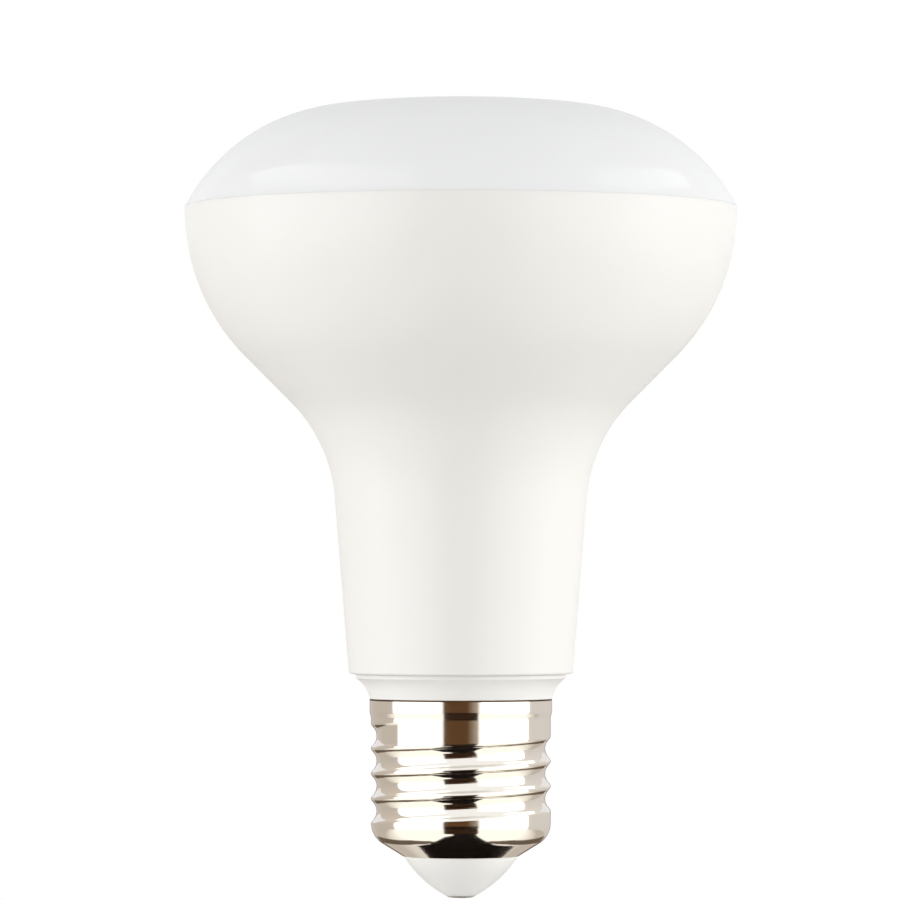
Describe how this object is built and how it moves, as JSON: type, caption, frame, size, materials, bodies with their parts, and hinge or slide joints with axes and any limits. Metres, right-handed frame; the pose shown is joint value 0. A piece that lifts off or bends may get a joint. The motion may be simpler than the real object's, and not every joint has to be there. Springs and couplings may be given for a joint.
{
  "type": "led light bulb",
  "caption": "Reflector-shaped LED lamp with an opal diffuser dome, a tapered white housing and a nickel-plated Edison screw cap.",
  "frame": {"origin": "tip of the centre contact, on the lamp's axis", "axes": "+Z along the axis from the cap to the dome, as pictured; -Y is the side that the picture shows"},
  "size_m": [0.08, 0.08, 0.1156],
  "materials": {
    "opal_plastic": "opal polycarbonate, smooth and slightly glossy",
    "housing_plastic": "warm white moulded plastic, satin",
    "collar_plastic": "white moulded plastic, satin",
    "nickel": "nickel-plated rolled brass, bright",
    "insulator_plastic": "white moulded insulator, satin",
    "contact_metal": "nickel-plated, bright",
    "aluminium_sheet": "drawn sheet, mill finish",
    "white_board": "aluminium-backed board with white solder mask",
    "phosphor": "chip package with yellow phosphor",
    "screw_steel": "zinc-plated",
    "white_plastic": "moulded connector body",
    "pin_brass": "tinned brass",
    "green_board": "glass-epoxy board with green solder mask",
    "film_red": "dipped and boxed film",
    "resistor_grey": "cement coat",
    "ferrite_dark": "sintered ferrite",
    "can_sleeve": "shrink sleeve over an aluminium can",
    "coil_tape": "winding under yellow tape",
    "chip_black": "moulded epoxy",
    "lead_red": "insulated wire",
    "lead_white": "insulated wire"
  },
  "bodies": {
    "root": {"diffuser_dome": "opal_plastic", "housing": "housing_plastic", "heat_sink_liner": "aluminium_sheet", "carrier_plate": "aluminium_sheet", "led_board": "white_board", "led_chips": "phosphor", "board_screws": "screw_steel", "board_socket": "white_plastic", "output_pins": "pin_brass", "driver_board": "green_board", "film_capacitor": "film_red", "fuse_resistor": "resistor_grey", "filter_inductor": "ferrite_dark", "input_capacitor": "can_sleeve", "output_capacitor": "can_sleeve", "transformer_winding": "coil_tape", "transformer_core": "ferrite_dark", "bridge_rectifier": "chip_black", "driver_chip": "chip_black", "output_diode": "chip_black", "chip_resistors": "chip_black", "screw_shell": "nickel", "cap_collar": "collar_plastic", "cap_insulator": "insulator_plastic", "centre_contact": "contact_metal", "live_lead": "lead_red", "neutral_lead": "lead_white"}
  },
  "joints": []
}
